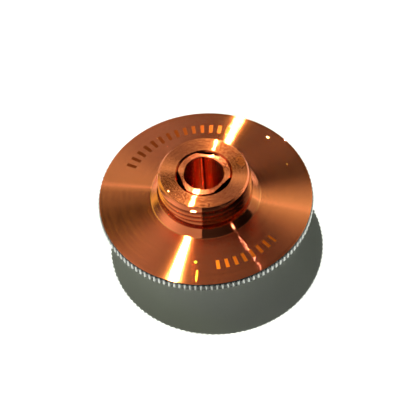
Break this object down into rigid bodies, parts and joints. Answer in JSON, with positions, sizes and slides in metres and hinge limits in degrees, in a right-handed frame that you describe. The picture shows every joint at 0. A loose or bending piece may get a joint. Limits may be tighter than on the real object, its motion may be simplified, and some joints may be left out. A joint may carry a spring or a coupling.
{
  "type": "laser cutting nozzle",
  "caption": "Double-layer laser cutting nozzle: a turned copper body with a threaded stem, wide knurled flange and cone, and a pressed-in core that leaves three gas slots.",
  "frame": {"origin": "centre of the tip's flat face, on the nozzle's axis", "axes": "+Z along the nozzle's axis, from the tip towards the thread; +Y towards one gas slot"},
  "size_m": [0.032, 0.032, 0.015],
  "materials": {
    "copper": "turned bright copper, with chrome plating on the body's rim and front"
  },
  "bodies": {
    "root": {"nozzle_body": "copper", "inner_core": "copper"}
  },
  "joints": []
}
